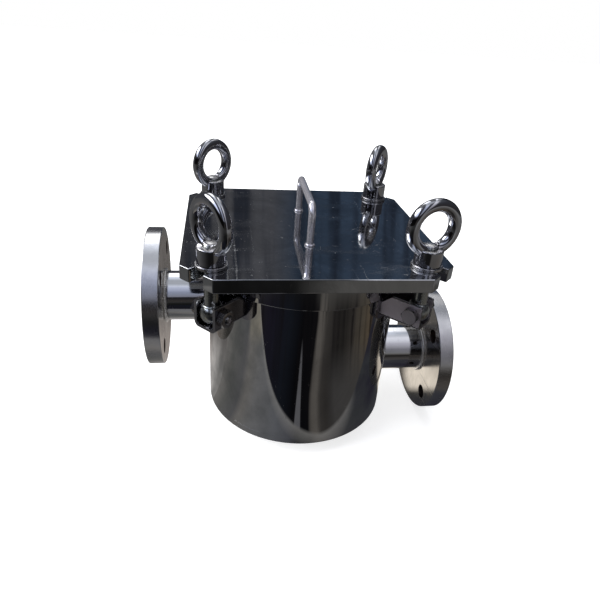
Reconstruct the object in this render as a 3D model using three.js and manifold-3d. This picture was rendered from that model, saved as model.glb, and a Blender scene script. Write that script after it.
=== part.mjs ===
// Basket strainer for a pipeline: a welded steel vessel with two offset flanged pipes, a square
// cover held by four swing bolts with eye nuts, and a lift-out basket on a seat ring inside.
// Millimetres. Origin at the centre of the vessel's underside, +X towards the outlet, +Z up.
import * as THREE from "three";
import { mergeVertices } from "three/addons/utils/BufferGeometryUtils.js";
import Module from "manifold-3d";

const wasm = await Module();
wasm.setup();

// ---------- driving dimensions ----------
const GAP = 0.3; // between pieces that touch

// sides of the rounds, by size
const BIG_SIDES = 48;
const PIPE_SIDES = 32;
const SMALL_SIDES = 16;

// vessel
const SHELL_R = 115;
const SHELL_WALL = 3;
const BOTTOM_T = 8;
const RING_R = 120;
const RING_BORE_R = 102;
const RING_LOW = 188.5;
const RING_TOP = 220.7;
const GROOVE_INNER_R = 107.7;
const GROOVE_OUTER_R = 114.3;
const GROOVE_DEPTH = 4.2;
const SEAT_BORE_R = 88;
const SEAT_LOW = 100;
const SEAT_T = 8;

// pipes and flanges
const PIPE_R = 30.15;
const PIPE_BORE_R = 27.25;
const INLET_Z = 144;
const OUTLET_Z = 62;
const FACE_TO_AXIS = 185;
const FLANGE_R = 82.5;
const FLANGE_T = 18;
const FLANGE_HOLES = 4;
const FLANGE_HOLE_R = 9;
const FLANGE_PITCH_R = 62.5;
const PIPE_SETBACK = 4; // the pipe's end lies this far inside the flange's face
const BEAD = 3.2; // leg of the fillet weld behind a flange

// cover
const COVER_SIDE = 282;
const COVER_T = 15;
const COVER_LOW = RING_TOP + GAP;
const COVER_TOP = COVER_LOW + COVER_T;
const CORNER_CUT = 32.4;
const SLOT_W = 19;
const BOLT_XY = 110; // the bolts stand on a square of twice this side
const BOLT_PITCH_R = BOLT_XY * Math.SQRT2;

// cover handle
const HANDLE_FRONT = [-4.5, -57]; // where its legs stand
const HANDLE_BACK = [-2, 54];
const HANDLE_H = 47;
const HANDLE_BAR_R = 4;
const HANDLE_BEND_R = 10;
const COLLAR_R = 6.6;
const COLLAR_H = 2.6;

// swing bolts, their brackets and pivots
const BOLT_R = 8;
const BOLT_END = COVER_TOP + 25.5;
const PIVOT_Z = 183.5;
const EYE_R = 12.5;
const EYE_W = 19;
const PIVOT_R = 5;
const PIVOT_HOLE_R = 5.3;
const PIVOT_HEAD_FLATS = 17;
const PIVOT_HEAD_H = 6.4;
const PIVOT_NUT_H = 8;
const PIVOT_TAIL = 2.5; // thread beyond the nut
const BRACKET_W = 30;
const BRACKET_WALL = 3.5;
const BRACKET_LOW = 167;
const BRACKET_TOP = 196;
const BRACKET_END_R = 166;
const BRACKET_BEND_R = 6;
const BRACKET_CUT_X = 11.2;
const BRACKET_CUT_Z = 10;
const PAD_W = 44;
const PAD_LOW = 164;

// washers and eye nuts
const WASHER_R = 16.5;
const WASHER_BORE_R = 8.6;
const WASHER_T = 3;
const NUT_BASE_R = 14.6;
const NUT_BASE_H = 17.5;
const NUT_BORE_R = 8.45;
const NUT_EYE_Z = COVER_TOP + 42.2;
const NUT_EYE_R = 24.2; // to the middle of the bar
const NUT_BAR_R = 6.7;

// basket
const BASKET_R = 80;
const BASKET_WALL = 1.5;
const BASKET_LOW = 14;
const BASKET_FLOOR_T = 2;
const RIM_R = 99;
const RIM_T = 4;
const RIM_LOW = SEAT_LOW + SEAT_T + GAP;
const RIM_TOP = RIM_LOW + RIM_T;
const BAIL_BAR_R = 3;
const BAIL_R = 78;
const BAIL_Z = RIM_TOP + 5;
const BAIL_BEND_R = 8;
const BAIL_END_X = 94;
const LUG_X = 90;
const LUG_T = 3;
const LUG_R = 7;
const LUG_HOLE_R = 3.4;

// The four corners, each with the direction that its eye faces along, in degrees from +X.
const CORNERS = [
  { name: "front_left", sx: -1, sy: -1, eye: -55 },
  { name: "front_right", sx: 1, sy: -1, eye: 12 },
  { name: "back_right", sx: 1, sy: 1, eye: 56 },
  { name: "back_left", sx: -1, sy: 1, eye: 43 },
];

// ---------- materials ----------
function steel(color, roughness) {
  return new THREE.MeshStandardMaterial({ color, roughness, metalness: 1 });
}

const polished = steel(0x8d8d92, 0.12);
const darkPolished = steel(0x5c5d63, 0.14);
const brushed = steel(0xb4b4ba, 0.32);
const chrome = steel(0xc4c4ca, 0.08);
const meshSteel = steel(0x9c9ca0, 0.4);
const rubber = new THREE.MeshStandardMaterial({ color: 0x23201e, roughness: 0.8, metalness: 0 });

// ---------- geometry helpers ----------
function toSolid(geometry) {
  const bare = geometry.index ? geometry.toNonIndexed() : geometry.clone();
  bare.deleteAttribute("normal");
  bare.deleteAttribute("uv");
  const merged = mergeVertices(bare, 1e-4);
  const solid = new wasm.Mesh({
    numProp: 3,
    vertProperties: new Float32Array(merged.attributes.position.array),
    triVerts: new Uint32Array(merged.index.array),
  });
  return new wasm.Manifold(solid);
}

function toGeometry(solid) {
  const mesh = solid.getMesh();
  const geometry = new THREE.BufferGeometry();
  geometry.setAttribute("position", new THREE.BufferAttribute(mesh.vertProperties, 3));
  geometry.setIndex(new THREE.BufferAttribute(mesh.triVerts, 1));
  geometry.computeVertexNormals();
  return geometry;
}

function cut(geometry, ...tools) {
  return toGeometry(tools.reduce((solid, tool) => solid.subtract(toSolid(tool)), toSolid(geometry)));
}

function join(first, ...rest) {
  return toGeometry(rest.reduce((solid, more) => solid.add(toSolid(more)), toSolid(first)));
}

function common(first, second) {
  return toGeometry(toSolid(first).intersect(toSolid(second)));
}

// A body of revolution about +Z from [radius, z] corners. Corners off the axis close on themselves.
function turned(corners, segments) {
  const points = corners.map(([r, z]) => new THREE.Vector2(r, z));
  const onAxis = corners[0][0] === 0 && corners[corners.length - 1][0] === 0;
  if (!onAxis) points.push(points[0].clone());
  return new THREE.LatheGeometry(points, segments).rotateX(Math.PI / 2);
}

// A bar of radius r about +Z from low to high.
function bar(r, low, high, segments) {
  return new THREE.CylinderGeometry(r, r, high - low, segments)
    .rotateX(Math.PI / 2)
    .translate(0, 0, (low + high) / 2);
}

// A bar along the tangent direction of a bracket's frame, that is along Y.
function crossBar(r, low, high, segments) {
  return bar(r, low, high, segments).rotateX(-Math.PI / 2);
}

function box(x0, x1, y0, y1, z0, z1) {
  return new THREE.BoxGeometry(x1 - x0, y1 - y0, z1 - z0)
    .translate((x0 + x1) / 2, (y0 + y1) / 2, (z0 + z1) / 2);
}

// A round bar along a path.
function bentBar(path, r, steps, sides) {
  const section = new THREE.Shape(
    Array.from({ length: sides }, (_, i) => {
      const a = (i / sides) * 2 * Math.PI;
      return new THREE.Vector2(r * Math.cos(a), r * Math.sin(a));
    }),
  );
  return new THREE.ExtrudeGeometry(section, { steps, extrudePath: path, bevelEnabled: false });
}

// A flat plate of a given outline, from z = low upwards.
function plate(shape, low, thickness, curveSegments = 8) {
  return new THREE.ExtrudeGeometry(shape, { depth: thickness, bevelEnabled: false, curveSegments })
    .translate(0, 0, low);
}

// A hexagonal prism along Y, with two flats level with the ground.
function hexPrism(flats, y0, y1) {
  return crossBar(flats / Math.sqrt(3), y0, y1, 6).rotateY(Math.PI / 6);
}

const strainer = new THREE.Group();

function add(parent, name, geometry, material) {
  const mesh = new THREE.Mesh(geometry, material);
  mesh.name = name;
  parent.add(mesh);
  return mesh;
}

// ---------- vessel ----------
// A horizontal pipe hole through the vessel's wall, towards -X or +X.
function pipeHole(side, r, z) {
  return bar(r, SHELL_R - 40, SHELL_R + 30, PIPE_SIDES).rotateY((side * Math.PI) / 2).translate(0, 0, z);
}

function vesselShell() {
  const inner = SHELL_R - SHELL_WALL;
  const low = BOTTOM_T + GAP;
  const high = RING_LOW - GAP;
  const wall = turned([[inner, low], [SHELL_R, low], [SHELL_R, high], [inner, high]], BIG_SIDES);
  return cut(wall, pipeHole(-1, PIPE_BORE_R, INLET_Z), pipeHole(1, PIPE_BORE_R, OUTLET_Z));
}

function bottomPlate() {
  const edge = 1.5;
  return turned([
    [0, 0], [SHELL_R - edge, 0], [SHELL_R, edge], [SHELL_R, BOTTOM_T], [0, BOTTOM_T],
  ], BIG_SIDES);
}

function bodyRing() {
  const floor = RING_TOP - GROOVE_DEPTH;
  return turned([
    [RING_BORE_R, RING_LOW], [RING_R, RING_LOW], [RING_R, RING_TOP], [GROOVE_OUTER_R, RING_TOP],
    [GROOVE_OUTER_R, floor], [GROOVE_INNER_R, floor], [GROOVE_INNER_R, RING_TOP],
    [RING_BORE_R, RING_TOP],
  ], BIG_SIDES);
}

function coverGasket() {
  const inner = GROOVE_INNER_R + GAP;
  const outer = GROOVE_OUTER_R - GAP;
  const low = RING_TOP - GROOVE_DEPTH + GAP;
  return turned([[inner, low], [outer, low], [outer, RING_TOP], [inner, RING_TOP]], BIG_SIDES);
}

function seatRing() {
  const outer = SHELL_R - SHELL_WALL - GAP;
  const high = SEAT_LOW + SEAT_T;
  return turned([[SEAT_BORE_R, SEAT_LOW], [outer, SEAT_LOW], [outer, high], [SEAT_BORE_R, high]], BIG_SIDES);
}

// A pipe stub along +Z, from the shell's outside to just short of the flange's face, with the
// fillet weld behind the flange as part of it. Its inner end is shaped to the shell.
function pipeStub(side, z) {
  const back = FACE_TO_AXIS - FLANGE_T;
  const end = FACE_TO_AXIS - PIPE_SETBACK;
  const tube = turned([
    [PIPE_BORE_R, SHELL_R - 20], [PIPE_R, SHELL_R - 20], [PIPE_R, back - GAP - BEAD],
    [PIPE_R + BEAD, back - GAP], [PIPE_R, back - GAP], [PIPE_R, end], [PIPE_BORE_R, end],
  ], PIPE_SIDES);
  const placed = tube.rotateY((side * Math.PI) / 2).translate(0, 0, z);
  return cut(placed, bar(SHELL_R + GAP, z - 2 * PIPE_R, z + 2 * PIPE_R, BIG_SIDES));
}

// A plate flange with four holes that straddle the vertical.
function flange(side, z) {
  const bore = PIPE_R + GAP;
  const back = FACE_TO_AXIS - FLANGE_T;
  const edge = 1;
  const disc = turned([
    [bore, back], [FLANGE_R - edge, back], [FLANGE_R, back + edge],
    [FLANGE_R, FACE_TO_AXIS - edge], [FLANGE_R - edge, FACE_TO_AXIS], [bore, FACE_TO_AXIS],
  ], BIG_SIDES);
  const holes = Array.from({ length: FLANGE_HOLES }, (_, i) => {
    const a = ((i + 0.5) / FLANGE_HOLES) * 2 * Math.PI;
    return bar(FLANGE_HOLE_R, back - 1, FACE_TO_AXIS + 1, SMALL_SIDES)
      .translate(FLANGE_PITCH_R * Math.cos(a), FLANGE_PITCH_R * Math.sin(a), 0);
  });
  return cut(disc, ...holes).rotateY((side * Math.PI) / 2).translate(0, 0, z);
}

add(strainer, "vessel_shell", vesselShell(), polished);
add(strainer, "bottom_plate", bottomPlate(), polished);
add(strainer, "body_ring", bodyRing(), polished);
add(strainer, "cover_gasket", coverGasket(), rubber);
add(strainer, "seat_ring", seatRing(), brushed);
add(strainer, "inlet_pipe", pipeStub(-1, INLET_Z), chrome);
add(strainer, "outlet_pipe", pipeStub(1, OUTLET_Z), chrome);
add(strainer, "inlet_flange", flange(-1, INLET_Z), brushed);
add(strainer, "outlet_flange", flange(1, OUTLET_Z), brushed);

// ---------- brackets, pivots and swing bolts ----------
// These are made in a corner's own frame: X outwards from the vessel's axis, Z up.

// The rounded plate that backs a bracket, curved to the shell and flush with the ring.
function bracketPad() {
  const half = PAD_W / 2;
  const corner = 8;
  const outline = new THREE.Shape();
  outline.moveTo(-half, RING_LOW - GAP);
  outline.lineTo(-half, PAD_LOW + corner);
  outline.absarc(-half + corner, PAD_LOW + corner, corner, Math.PI, 1.5 * Math.PI);
  outline.absarc(half - corner, PAD_LOW + corner, corner, 1.5 * Math.PI, 2 * Math.PI);
  outline.lineTo(half, RING_LOW - GAP);
  const block = plate(outline, SHELL_R - 20, 40, 5).rotateX(Math.PI / 2).rotateZ(Math.PI / 2);
  const low = PAD_LOW - 1;
  const inner = SHELL_R + GAP;
  const outer = RING_R - GAP;
  const band = turned([[inner, low], [outer, low], [outer, RING_LOW], [inner, RING_LOW]], BIG_SIDES);
  return common(band, block);
}

// The U of a bent plate, open at the top, as an outline with Y across and Z up.
function channelOutline() {
  const half = BRACKET_W / 2;
  const inner = half - BRACKET_WALL;
  const bend = BRACKET_BEND_R;
  const innerBend = bend - BRACKET_WALL;
  const low = BRACKET_LOW;
  const floor = low + BRACKET_WALL;
  const u = new THREE.Shape();
  u.moveTo(-half, BRACKET_TOP);
  u.absarc(-half + bend, low + bend, bend, Math.PI, 1.5 * Math.PI);
  u.absarc(half - bend, low + bend, bend, 1.5 * Math.PI, 2 * Math.PI);
  u.lineTo(half, BRACKET_TOP);
  u.lineTo(inner, BRACKET_TOP);
  u.absarc(inner - innerBend, floor + innerBend, innerBend, 2 * Math.PI, 1.5 * Math.PI, true);
  u.absarc(-inner + innerBend, floor + innerBend, innerBend, 1.5 * Math.PI, Math.PI, true);
  u.lineTo(-inner, BRACKET_TOP);
  return u;
}

function bracket() {
  const start = RING_R - 12;
  const length = BRACKET_END_R - start;
  const channel = plate(channelOutline(), start, length, 4).rotateX(Math.PI / 2).rotateZ(Math.PI / 2);
  const corner = new THREE.Shape([
    new THREE.Vector2(start - 1, BRACKET_TOP - BRACKET_CUT_Z),
    new THREE.Vector2(RING_R, BRACKET_TOP - BRACKET_CUT_Z),
    new THREE.Vector2(RING_R + BRACKET_CUT_X, BRACKET_TOP),
    new THREE.Vector2(RING_R + BRACKET_CUT_X, BRACKET_TOP + 1),
    new THREE.Vector2(start - 1, BRACKET_TOP + 1),
  ]);
  const cornerTool = plate(corner, -BRACKET_W, 2 * BRACKET_W).rotateX(Math.PI / 2);
  const saddle = bar(RING_R, BRACKET_LOW - 1, BRACKET_TOP + 1, BIG_SIDES);
  return cut(channel, saddle, cornerTool, pivotTool(PIVOT_HOLE_R));
}

// A round bar across the bracket at the pivot.
function pivotTool(r) {
  return crossBar(r, -BRACKET_W, BRACKET_W, SMALL_SIDES).translate(BOLT_PITCH_R, 0, PIVOT_Z);
}

function pivotBolt() {
  const side = BRACKET_W / 2 + GAP;
  const tail = side + PIVOT_NUT_H + PIVOT_TAIL;
  const shank = crossBar(PIVOT_R, -side - PIVOT_HEAD_H / 2, tail, SMALL_SIDES);
  const head = hexPrism(PIVOT_HEAD_FLATS, -side - PIVOT_HEAD_H, -side);
  return join(head, shank).translate(BOLT_PITCH_R, 0, PIVOT_Z);
}

function pivotNut() {
  const side = BRACKET_W / 2 + GAP;
  const hex = hexPrism(PIVOT_HEAD_FLATS, side, side + PIVOT_NUT_H);
  return cut(hex, crossBar(PIVOT_HOLE_R, 0, 2 * side, SMALL_SIDES)).translate(BOLT_PITCH_R, 0, PIVOT_Z);
}

// A swing bolt: a flattened ball with a cross hole, and a plain shank up through the cover.
function swingBolt() {
  const ball = new THREE.SphereGeometry(EYE_R, SMALL_SIDES, 10).translate(0, 0, PIVOT_Z);
  const half = EYE_W / 2;
  const cheeks = box(-EYE_R, EYE_R, -half, half, PIVOT_Z - EYE_R, PIVOT_Z + EYE_R);
  const shank = bar(BOLT_R, PIVOT_Z + EYE_R / 2, BOLT_END, SMALL_SIDES);
  const eye = cut(join(common(ball, cheeks), shank), crossBar(PIVOT_HOLE_R, -half - 1, half + 1, SMALL_SIDES)
    .translate(0, 0, PIVOT_Z));
  return eye.translate(BOLT_PITCH_R, 0, 0);
}

const cornerPieces = {
  pad: [bracketPad(), darkPolished],
  bracket: [bracket(), darkPolished],
  pivot_bolt: [pivotBolt(), brushed],
  pivot_nut: [pivotNut(), brushed],
  swing_bolt: [swingBolt(), chrome],
};

for (const corner of CORNERS) {
  const frame = new THREE.Group();
  frame.rotation.z = Math.atan2(corner.sy, corner.sx);
  strainer.add(frame);
  for (const [piece, [geometry, material]] of Object.entries(cornerPieces)) {
    add(frame, `${piece}_${corner.name}`, geometry, material);
  }
}

// ---------- cover ----------
function coverPlate() {
  const half = COVER_SIDE / 2;
  const inner = half - CORNER_CUT;
  const outline = new THREE.Shape([
    [inner, -half], [half, -inner], [half, inner], [inner, half],
    [-inner, half], [-half, inner], [-half, -inner], [-inner, -half],
  ].map(([x, y]) => new THREE.Vector2(x, y)));
  const slots = CORNERS.flatMap(({ sx, sy }) => {
    const angle = Math.atan2(sy, sx);
    const mouth = box(BOLT_PITCH_R, half * 2, -SLOT_W / 2, SLOT_W / 2, COVER_LOW - 1, COVER_TOP + 1);
    const end = bar(SLOT_W / 2, COVER_LOW - 1, COVER_TOP + 1, SMALL_SIDES).translate(BOLT_PITCH_R, 0, 0);
    return [mouth.rotateZ(angle), end.rotateZ(angle)];
  });
  return cut(plate(outline, COVER_LOW, COVER_T), ...slots);
}

// Two legs joined by a level grip, with a quarter bend at each end of it.
function coverHandle() {
  const foot = COVER_TOP + GAP;
  const top = COVER_TOP + HANDLE_H - HANDLE_BAR_R;
  const front = new THREE.Vector3(...HANDLE_FRONT, top);
  const back = new THREE.Vector3(...HANDLE_BACK, top);
  const down = new THREE.Vector3(0, 0, -HANDLE_BEND_R);
  const along = back.clone().sub(front).setLength(HANDLE_BEND_R);
  const frontLeg = front.clone().add(down);
  const frontGrip = front.clone().add(along);
  const backGrip = back.clone().sub(along);
  const backLeg = back.clone().add(down);
  const path = new THREE.CurvePath();
  path.add(new THREE.LineCurve3(new THREE.Vector3(...HANDLE_FRONT, foot), frontLeg));
  path.add(new THREE.QuadraticBezierCurve3(frontLeg, front, frontGrip));
  path.add(new THREE.LineCurve3(frontGrip, backGrip));
  path.add(new THREE.QuadraticBezierCurve3(backGrip, back, backLeg));
  path.add(new THREE.LineCurve3(backLeg, new THREE.Vector3(...HANDLE_BACK, foot)));
  return bentBar(path, HANDLE_BAR_R, 36, 8);
}

function handleCollar([x, y]) {
  const bore = HANDLE_BAR_R + GAP;
  const low = COVER_TOP + GAP;
  return turned([
    [bore, low], [COLLAR_R, low], [COLLAR_R, low + COLLAR_H / 2],
    [COLLAR_R - 1, low + COLLAR_H], [bore, low + COLLAR_H],
  ], SMALL_SIDES).translate(x, y, 0);
}

const cover = new THREE.Group();
strainer.add(cover);
add(cover, "cover_plate", coverPlate(), darkPolished);
add(cover, "cover_handle", coverHandle(), brushed);
add(cover, "handle_collar_front", handleCollar(HANDLE_FRONT), chrome);
add(cover, "handle_collar_back", handleCollar(HANDLE_BACK), chrome);

// ---------- washers and eye nuts ----------
function washer() {
  const low = COVER_TOP + GAP;
  const high = low + WASHER_T;
  return turned([
    [WASHER_BORE_R, low], [WASHER_R, low], [WASHER_R, high], [WASHER_BORE_R, high],
  ], SMALL_SIDES);
}

// A round base with an upright ring on it. The bolt's end shows inside the ring.
function eyeNut() {
  const low = COVER_TOP + WASHER_T + 2 * GAP;
  const high = low + NUT_BASE_H;
  const edge = 1.2;
  const base = turned([
    [0, low], [NUT_BASE_R, low], [NUT_BASE_R, high - edge], [NUT_BASE_R - edge, high], [0, high],
  ], SMALL_SIDES);
  const ring = new THREE.TorusGeometry(NUT_EYE_R, NUT_BAR_R, 8, SMALL_SIDES)
    .rotateX(Math.PI / 2)
    .translate(0, 0, NUT_EYE_Z);
  const bore = bar(NUT_BORE_R, low - 1, NUT_EYE_Z - NUT_EYE_R + 2 * NUT_BAR_R, SMALL_SIDES);
  return cut(join(base, ring), bore);
}

const washerShape = washer();
const nutShape = eyeNut();
for (const corner of CORNERS) {
  const stack = new THREE.Group();
  stack.position.set(corner.sx * BOLT_XY, corner.sy * BOLT_XY, 0);
  stack.rotation.z = THREE.MathUtils.degToRad(corner.eye);
  cover.add(stack);
  add(stack, `washer_${corner.name}`, washerShape, brushed);
  add(stack, `eye_nut_${corner.name}`, nutShape, chrome);
}

// ---------- basket ----------
function basketRim() {
  const bore = BASKET_R - BASKET_WALL;
  return turned([[bore, RIM_LOW], [RIM_R, RIM_LOW], [RIM_R, RIM_TOP], [bore, RIM_TOP]], BIG_SIDES);
}

function basketWall() {
  const inner = BASKET_R - BASKET_WALL;
  const low = BASKET_LOW + BASKET_FLOOR_T + GAP;
  const high = RIM_LOW - GAP;
  return turned([[inner, low], [BASKET_R, low], [BASKET_R, high], [inner, high]], BIG_SIDES);
}

function basketFloor() {
  return bar(BASKET_R, BASKET_LOW, BASKET_LOW + BASKET_FLOOR_T, BIG_SIDES);
}

// An upright lug on the rim, with a hole for the bail's end.
function bailLug(side) {
  const low = RIM_TOP + GAP;
  const outline = new THREE.Shape();
  outline.moveTo(-LUG_R, low);
  outline.lineTo(LUG_R, low);
  outline.lineTo(LUG_R, BAIL_Z);
  outline.absarc(0, BAIL_Z, LUG_R, 0, Math.PI);
  const hole = new THREE.Path();
  hole.absarc(0, BAIL_Z, LUG_HOLE_R, 0, 2 * Math.PI, true);
  outline.holes.push(hole);
  return plate(outline, side * LUG_X - LUG_T / 2, LUG_T, 10).rotateX(Math.PI / 2).rotateZ(Math.PI / 2);
}

// The bail lies folded towards the front: two straight ends in the lugs and a half circle between.
function basketBail() {
  const at = (x, y) => new THREE.Vector3(x, y, BAIL_Z);
  const bend = BAIL_BEND_R;
  const turn = BAIL_R + bend;
  const path = new THREE.CurvePath();
  path.add(new THREE.LineCurve3(at(-BAIL_END_X, 0), at(-turn, 0)));
  path.add(new THREE.QuadraticBezierCurve3(at(-turn, 0), at(-BAIL_R, 0), at(-BAIL_R, -bend)));
  const steps = 12;
  const arc = Array.from({ length: steps + 1 }, (_, i) => {
    const a = Math.PI + (i / steps) * Math.PI;
    return at(BAIL_R * Math.cos(a), -bend + BAIL_R * Math.sin(a));
  });
  path.add(new THREE.CatmullRomCurve3(arc));
  path.add(new THREE.QuadraticBezierCurve3(at(BAIL_R, -bend), at(BAIL_R, 0), at(turn, 0)));
  path.add(new THREE.LineCurve3(at(turn, 0), at(BAIL_END_X, 0)));
  return bentBar(path, BAIL_BAR_R, 44, 6);
}

const basket = new THREE.Group();
strainer.add(basket);
add(basket, "basket_rim", basketRim(), brushed);
add(basket, "basket_wall", basketWall(), meshSteel);
add(basket, "basket_floor", basketFloor(), meshSteel);
add(basket, "bail_lug_left", bailLug(-1), brushed);
add(basket, "bail_lug_right", bailLug(1), brushed);
add(basket, "basket_bail", basketBail(), brushed);

export default strainer;
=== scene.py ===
"""Basket strainer: the fine surface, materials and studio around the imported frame. Metres, +Z up."""
from math import atan2, ceil, cos, hypot, pi, radians, sin, sqrt, tan

import bmesh
import bpy
from mathutils import Matrix, Vector


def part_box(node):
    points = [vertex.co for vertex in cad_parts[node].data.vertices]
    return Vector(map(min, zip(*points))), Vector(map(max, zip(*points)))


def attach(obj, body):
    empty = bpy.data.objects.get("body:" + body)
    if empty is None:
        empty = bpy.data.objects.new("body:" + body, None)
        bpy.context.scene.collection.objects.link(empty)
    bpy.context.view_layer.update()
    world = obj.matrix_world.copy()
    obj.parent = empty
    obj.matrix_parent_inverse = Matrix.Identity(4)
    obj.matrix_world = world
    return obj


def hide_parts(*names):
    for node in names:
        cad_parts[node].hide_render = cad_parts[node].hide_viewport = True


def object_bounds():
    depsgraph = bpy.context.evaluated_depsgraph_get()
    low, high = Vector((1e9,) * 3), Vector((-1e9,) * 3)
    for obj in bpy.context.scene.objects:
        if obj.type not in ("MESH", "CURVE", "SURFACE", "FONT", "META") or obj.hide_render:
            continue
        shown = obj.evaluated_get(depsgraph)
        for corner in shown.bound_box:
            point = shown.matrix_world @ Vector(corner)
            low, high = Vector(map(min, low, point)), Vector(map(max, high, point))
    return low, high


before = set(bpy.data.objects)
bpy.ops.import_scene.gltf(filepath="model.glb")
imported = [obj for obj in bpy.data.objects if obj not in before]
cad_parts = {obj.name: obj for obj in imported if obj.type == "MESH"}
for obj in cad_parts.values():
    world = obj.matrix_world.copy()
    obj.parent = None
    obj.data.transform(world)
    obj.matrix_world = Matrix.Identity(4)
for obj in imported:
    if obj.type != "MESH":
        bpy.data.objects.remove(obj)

cad_low, cad_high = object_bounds()
MM = 0.001
TAU = 2 * pi

# ---------- sizes, from the frame where a node gives them ----------
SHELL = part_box("vessel_shell")
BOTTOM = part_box("bottom_plate")
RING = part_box("body_ring")
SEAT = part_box("seat_ring")
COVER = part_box("cover_plate")
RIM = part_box("basket_rim")
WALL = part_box("basket_wall")
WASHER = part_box("washer_front_left")
SHELL_R = SHELL[1].x
SHELL_WALL = 3 * MM
RING_R = RING[1].x
RING_BORE_R = 102 * MM
COVER_HALF = COVER[1].x
COVER_TOP = COVER[1].z
BOLT_XY = (WASHER[1].x + WASHER[0].x) / -2
BOLT_PITCH_R = BOLT_XY * sqrt(2)
PIPE_R = 30.15 * MM
PIPE_BORE_R = 27.25 * MM
FLANGE_R = (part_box("inlet_flange")[1].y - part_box("inlet_flange")[0].y) / 2
FLANGE_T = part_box("inlet_flange")[1].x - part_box("inlet_flange")[0].x
FLANGE_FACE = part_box("outlet_flange")[1].x
FLANGE_BACK = FLANGE_FACE - FLANGE_T
FLANGE_PITCH_R = 62.5 * MM
FLANGE_HOLE_R = 9 * MM
INLET_Z = (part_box("inlet_flange")[0].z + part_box("inlet_flange")[1].z) / 2
OUTLET_Z = (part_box("outlet_flange")[0].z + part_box("outlet_flange")[1].z) / 2
PIPE_RECESS = 4 * MM
BOTTOM_EDGE_R = 2 * MM
PIVOT_Z = 183.5 * MM
SEAT_BORE_R = 88 * MM
GROOVE_INNER_R = 107.7 * MM
GROOVE_OUTER_R = 114.3 * MM
GROOVE_DEPTH = 4.2 * MM
CORNER_CUT = 32.4 * MM
SLOT_HALF = 9.5 * MM
HANDLE_BAR_R = 4 * MM
HANDLE_BEND_R = 11 * MM
GAP = 0.3 * MM
FLOOR_Z = cad_low.z - 0.5 * MM

# ---------- radii of the weld beads, and half the bottom seam's height ----------
FLANGE_WELD_R = 2 * MM
SHELL_WELD_R = 1.3 * MM
RING_SEAM_R = 1.1 * MM
SEAM_HALF = 1.2 * MM

# The four corners: signs along X and Y, and the direction that each eye lies along.
CORNERS = {
    "front_left": (-1, -1, -55),
    "front_right": (1, -1, 12),
    "back_right": (1, 1, 56),
    "back_left": (-1, 1, 43),
}

# ---------- camera ----------
CAMERA_AT = Vector((-0.10244, -0.58530, 0.46122))
CAMERA_YAW, CAMERA_PITCH, CAMERA_ROLL = 0.172, 0.501, 0.077
CAMERA_LENS = 31.877


def make_camera():
    camera = bpy.data.objects.new("camera", bpy.data.cameras.new("camera"))
    ahead = Vector((
        sin(CAMERA_YAW) * cos(CAMERA_PITCH),
        cos(CAMERA_YAW) * cos(CAMERA_PITCH),
        -sin(CAMERA_PITCH),
    ))
    right = Vector((cos(CAMERA_YAW), -sin(CAMERA_YAW), 0))
    up = right.cross(ahead)
    turn = Matrix((right, up, -ahead)).transposed().to_4x4()
    camera.matrix_world = Matrix.Translation(CAMERA_AT) @ turn @ Matrix.Rotation(CAMERA_ROLL, 4, "Z")
    camera.data.sensor_width = 36
    camera.data.lens = CAMERA_LENS
    camera.data.clip_start = 0.01
    bpy.context.scene.collection.objects.link(camera)
    bpy.context.scene.camera = camera


# ---------- node graphs ----------
class Graph:
    """A small helper for building a node tree: each call adds a node and returns its output."""

    def __init__(self, tree):
        self.tree = tree
        tree.nodes.clear()

    def node(self, kind, **settings):
        made = self.tree.nodes.new(kind)
        for key, value in settings.items():
            setattr(made, key, value)
        return made

    def set(self, socket, value):
        if isinstance(value, bpy.types.NodeSocket):
            self.tree.links.new(value, socket)
        else:
            socket.default_value = value

    def coords(self):
        return self.node("ShaderNodeTexCoord").outputs["Object"]

    def fed(self, kind, inputs, **settings):
        """Adds a node and fills its inputs, each by name or number."""
        made = self.node(kind, **settings)
        for key, value in inputs.items():
            self.set(made.inputs[key], value)
        return made

    def mapping(self, vector, scale=(1, 1, 1), rotation=(0, 0, 0)):
        inputs = {"Vector": vector, "Scale": scale, "Rotation": rotation}
        return self.fed("ShaderNodeMapping", inputs).outputs["Vector"]

    def noise(self, vector, scale, detail=3, roughness=0.5, distortion=0.0):
        return self.fed("ShaderNodeTexNoise", {
            "Vector": vector, "Scale": scale, "Detail": detail, "Roughness": roughness,
            "Distortion": distortion,
        }).outputs["Fac"]

    def ramp(self, value, stops):
        made = self.fed("ShaderNodeValToRGB", {"Fac": value})
        elements = made.color_ramp.elements
        while len(elements) < len(stops):
            elements.new(0.5)
        for element, (place, shade) in zip(elements, stops):
            element.position = place
            element.color = (*shade, 1) if isinstance(shade, tuple) else (shade, shade, shade, 1)
        return made.outputs["Color"]

    def spread(self, value, low, high, from_low=0.0, from_high=1.0):
        return self.fed("ShaderNodeMapRange", {
            "Value": value, "From Min": from_low, "From Max": from_high, "To Min": low, "To Max": high,
        }).outputs["Result"]

    def rise(self, value, start, end):
        return self.spread(value, 0, 1, start, end)

    def fall(self, value, start, end):
        return self.spread(value, 1, 0, start, end)

    def math(self, operation, first, second=0.0):
        return self.fed("ShaderNodeMath", {0: first, 1: second}, operation=operation).outputs[0]

    def times(self, first, second):
        return self.math("MULTIPLY", first, second)

    def mix(self, factor, first, second, blend_type="MIX"):
        inputs = {0: factor, 6: first, 7: second}
        return self.fed("ShaderNodeMix", inputs, data_type="RGBA", blend_type=blend_type).outputs[2]

    def bump(self, height, strength, distance=0.001, normal=None):
        inputs = {"Strength": strength, "Distance": distance, "Height": height}
        if normal is not None:
            inputs["Normal"] = normal
        return self.fed("ShaderNodeBump", inputs).outputs["Normal"]

    def surface(self, shader, kind="ShaderNodeOutputMaterial"):
        self.set(self.node(kind).inputs["Surface"], shader.outputs[0])


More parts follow.
